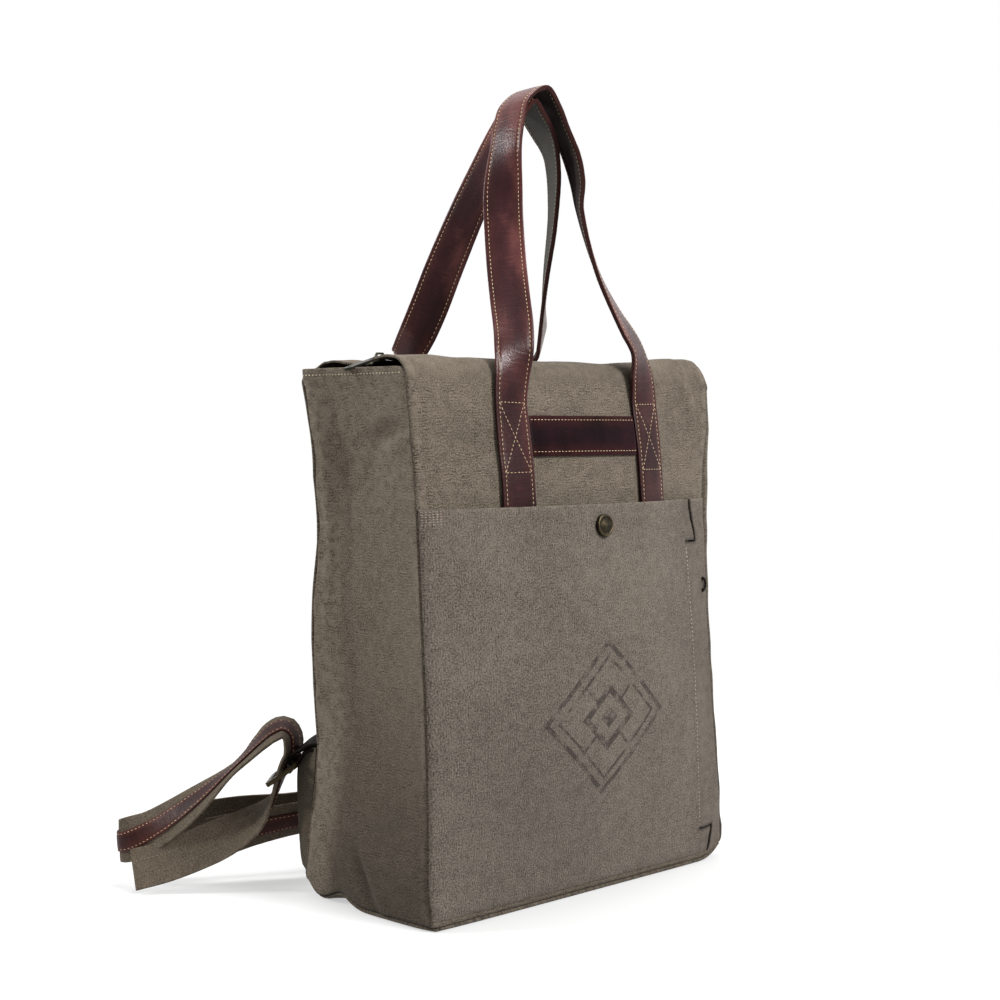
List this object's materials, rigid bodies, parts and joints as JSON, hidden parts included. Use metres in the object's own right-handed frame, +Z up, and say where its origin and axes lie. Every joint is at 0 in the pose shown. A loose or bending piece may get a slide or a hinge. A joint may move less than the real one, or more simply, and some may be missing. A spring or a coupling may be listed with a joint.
{
  "type": "canvas backpack",
  "caption": "Soft canvas tote backpack that stands upright, with a zipped roof, a snap front pocket, arched leather carrying handles and adjustable shoulder straps.",
  "frame": {"origin": "middle of the flat base, on the floor it stands on", "axes": "+Z up, -Y out of the front pocket, +X to the right seen from the front"},
  "size_m": [0.406, 0.2928, 0.5745],
  "materials": {
    "canvas": "washed heavy canvas, grey-olive taupe",
    "pocket_canvas": "washed heavy canvas, a little lighter, grain upright",
    "strap_canvas": "canvas webbing with stitched edges",
    "leather": "dark red-brown leather, semi-gloss, tan edge stitching",
    "zip_tape": "dark woven tape",
    "brass": "antique brass, worn bright at the rims"
  },
  "bodies": {
    "bag": {"front_panel": "canvas", "back_panel": "canvas", "left_gusset": "canvas", "right_gusset": "canvas", "bottom_panel": "canvas", "strap_tab_left": "canvas", "strap_tab_right": "canvas", "front_pocket": "pocket_canvas", "pocket_placket": "pocket_canvas", "shoulder_strap_left": "strap_canvas", "shoulder_strap_right": "strap_canvas", "front_handle": "leather", "back_handle": "leather", "handle_band": "leather", "strap_leather_left": "leather", "strap_leather_right": "leather", "slider_loop_left": "leather", "slider_loop_right": "leather", "front_zip_tape": "zip_tape", "back_zip_tape": "zip_tape", "pocket_snap": "brass", "zip_teeth": "brass", "zip_slider": "brass", "strap_slider_left": "brass", "strap_slider_right": "brass"},
    "puller": {"zip_puller": "brass"}
  },
  "joints": [
    {"name": "puller_hinge", "type": "hinge", "parent": "bag", "child": "puller", "pos_m": [-0.1272, 0, 0.379], "axis": [0, 1, 0], "range_deg": [0, 150]}
  ]
}
